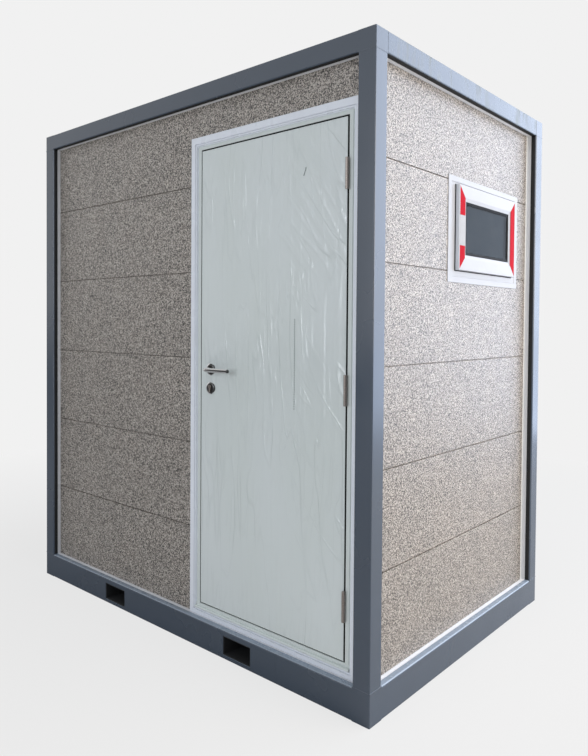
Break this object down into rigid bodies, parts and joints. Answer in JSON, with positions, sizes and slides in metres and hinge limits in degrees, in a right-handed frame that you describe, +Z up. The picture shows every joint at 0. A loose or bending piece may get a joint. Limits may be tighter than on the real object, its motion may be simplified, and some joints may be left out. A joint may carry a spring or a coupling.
{
  "type": "portable toilet cabin",
  "caption": "Small steel-framed portable toilet cabin with insulated board walls, an outward-opening door with a lever handle, a small high window and fork pockets in the base.",
  "frame": {"origin": "middle of the underside of the base frame, on the ground", "axes": "+X along the door wall towards the window end, -Y out of the door, +Z up"},
  "size_m": [2.15, 1.494, 2.4],
  "materials": {
    "post_front_left": "dark blue-grey gloss paint over steel",
    "post_front_right": "dark blue-grey gloss paint over steel",
    "post_back_left": "dark blue-grey gloss paint over steel",
    "post_back_right": "dark blue-grey gloss paint over steel",
    "top_beam_front": "dark blue-grey gloss paint over steel",
    "top_beam_back": "dark blue-grey gloss paint over steel",
    "top_beam_left": "dark blue-grey gloss paint over steel",
    "top_beam_right": "dark blue-grey gloss paint over steel",
    "base_beam_front": "dark blue-grey gloss paint over steel",
    "base_beam_back": "dark blue-grey gloss paint over steel",
    "base_beam_left": "dark blue-grey gloss paint over steel",
    "base_beam_right": "dark blue-grey gloss paint over steel",
    "top_corner_blocks": "dark blue-grey gloss paint over steel",
    "base_corner_blocks": "dark blue-grey gloss paint over steel",
    "fork_tube_left": "dark grey primer over steel",
    "fork_tube_right": "dark grey primer over steel",
    "cross_beam": "dark grey primer over steel",
    "floor_board": "grey steel-faced floor board, satin",
    "roof_panel": "light grey coated steel roof panel, satin",
    "front_wall_latch_side": "embossed and printed stone-fleck coated steel boards, satin",
    "front_wall_over_door": "embossed and printed stone-fleck coated steel boards, satin",
    "front_wall_hinge_side": "embossed and printed stone-fleck coated steel boards, satin",
    "back_wall": "embossed and printed stone-fleck coated steel boards, satin",
    "left_wall": "embossed and printed stone-fleck coated steel boards, satin",
    "window_wall": "embossed and printed stone-fleck coated steel boards, satin",
    "trim_front": "white coated steel edge trim, satin",
    "trim_back": "white coated steel edge trim, satin",
    "trim_left": "white coated steel edge trim, satin",
    "trim_right": "white coated steel edge trim, satin",
    "door_casing": "white coated steel, satin",
    "door_frame": "white coated steel, satin",
    "door_sill": "folded bright steel threshold",
    "door_leaf": "pale grey coated steel under a clear protective film",
    "hinge_frame_side": "polished stainless steel",
    "hinge_leaf_side": "polished stainless steel",
    "door_roses": "polished stainless steel",
    "lever_handle": "polished stainless steel",
    "lock_cylinder": "polished stainless steel",
    "window_casing": "white uPVC, gloss",
    "window_frame": "white uPVC, gloss",
    "window_gasket": "black rubber seal",
    "window_sash": "white uPVC, gloss",
    "window_glass": "clear float glass"
  },
  "bodies": {
    "cabin": {"post_front_left": "post_front_left", "post_front_right": "post_front_right", "post_back_left": "post_back_left", "post_back_right": "post_back_right", "top_beam_front": "top_beam_front", "top_beam_back": "top_beam_back", "top_beam_left": "top_beam_left", "top_beam_right": "top_beam_right", "base_beam_front": "base_beam_front", "base_beam_back": "base_beam_back", "base_beam_left": "base_beam_left", "base_beam_right": "base_beam_right", "top_corner_blocks": "top_corner_blocks", "base_corner_blocks": "base_corner_blocks", "fork_tube_left": "fork_tube_left", "fork_tube_right": "fork_tube_right", "cross_beam": "cross_beam", "floor_board": "floor_board", "roof_panel": "roof_panel", "front_wall_latch_side": "front_wall_latch_side", "front_wall_over_door": "front_wall_over_door", "front_wall_hinge_side": "front_wall_hinge_side", "back_wall": "back_wall", "left_wall": "left_wall", "window_wall": "window_wall", "trim_front": "trim_front", "trim_back": "trim_back", "trim_left": "trim_left", "trim_right": "trim_right", "door_casing": "door_casing", "door_frame": "door_frame", "door_sill": "door_sill", "hinge_frame_side": "hinge_frame_side", "window_casing": "window_casing", "window_frame": "window_frame", "window_gasket": "window_gasket", "window_sash": "window_sash", "window_glass": "window_glass"},
    "door": {"door_leaf": "door_leaf", "hinge_leaf_side": "hinge_leaf_side", "door_roses": "door_roses", "lock_cylinder": "lock_cylinder"},
    "lever": {"lever_handle": "lever_handle"}
  },
  "joints": [
    {"name": "door_hinge", "type": "hinge", "parent": "cabin", "child": "door", "pos_m": [0.9385, -0.711, 0], "axis": [0, 0, 1], "range_deg": [0, 110]},
    {"name": "lever_turn", "type": "hinge", "parent": "door", "child": "lever", "pos_m": [0.224, -0.7, 1.195], "axis": [0, 1, 0], "range_deg": [0, 45], "stiffness_Nm_per_rad": 1.6, "springref_deg": -45.84}
  ]
}
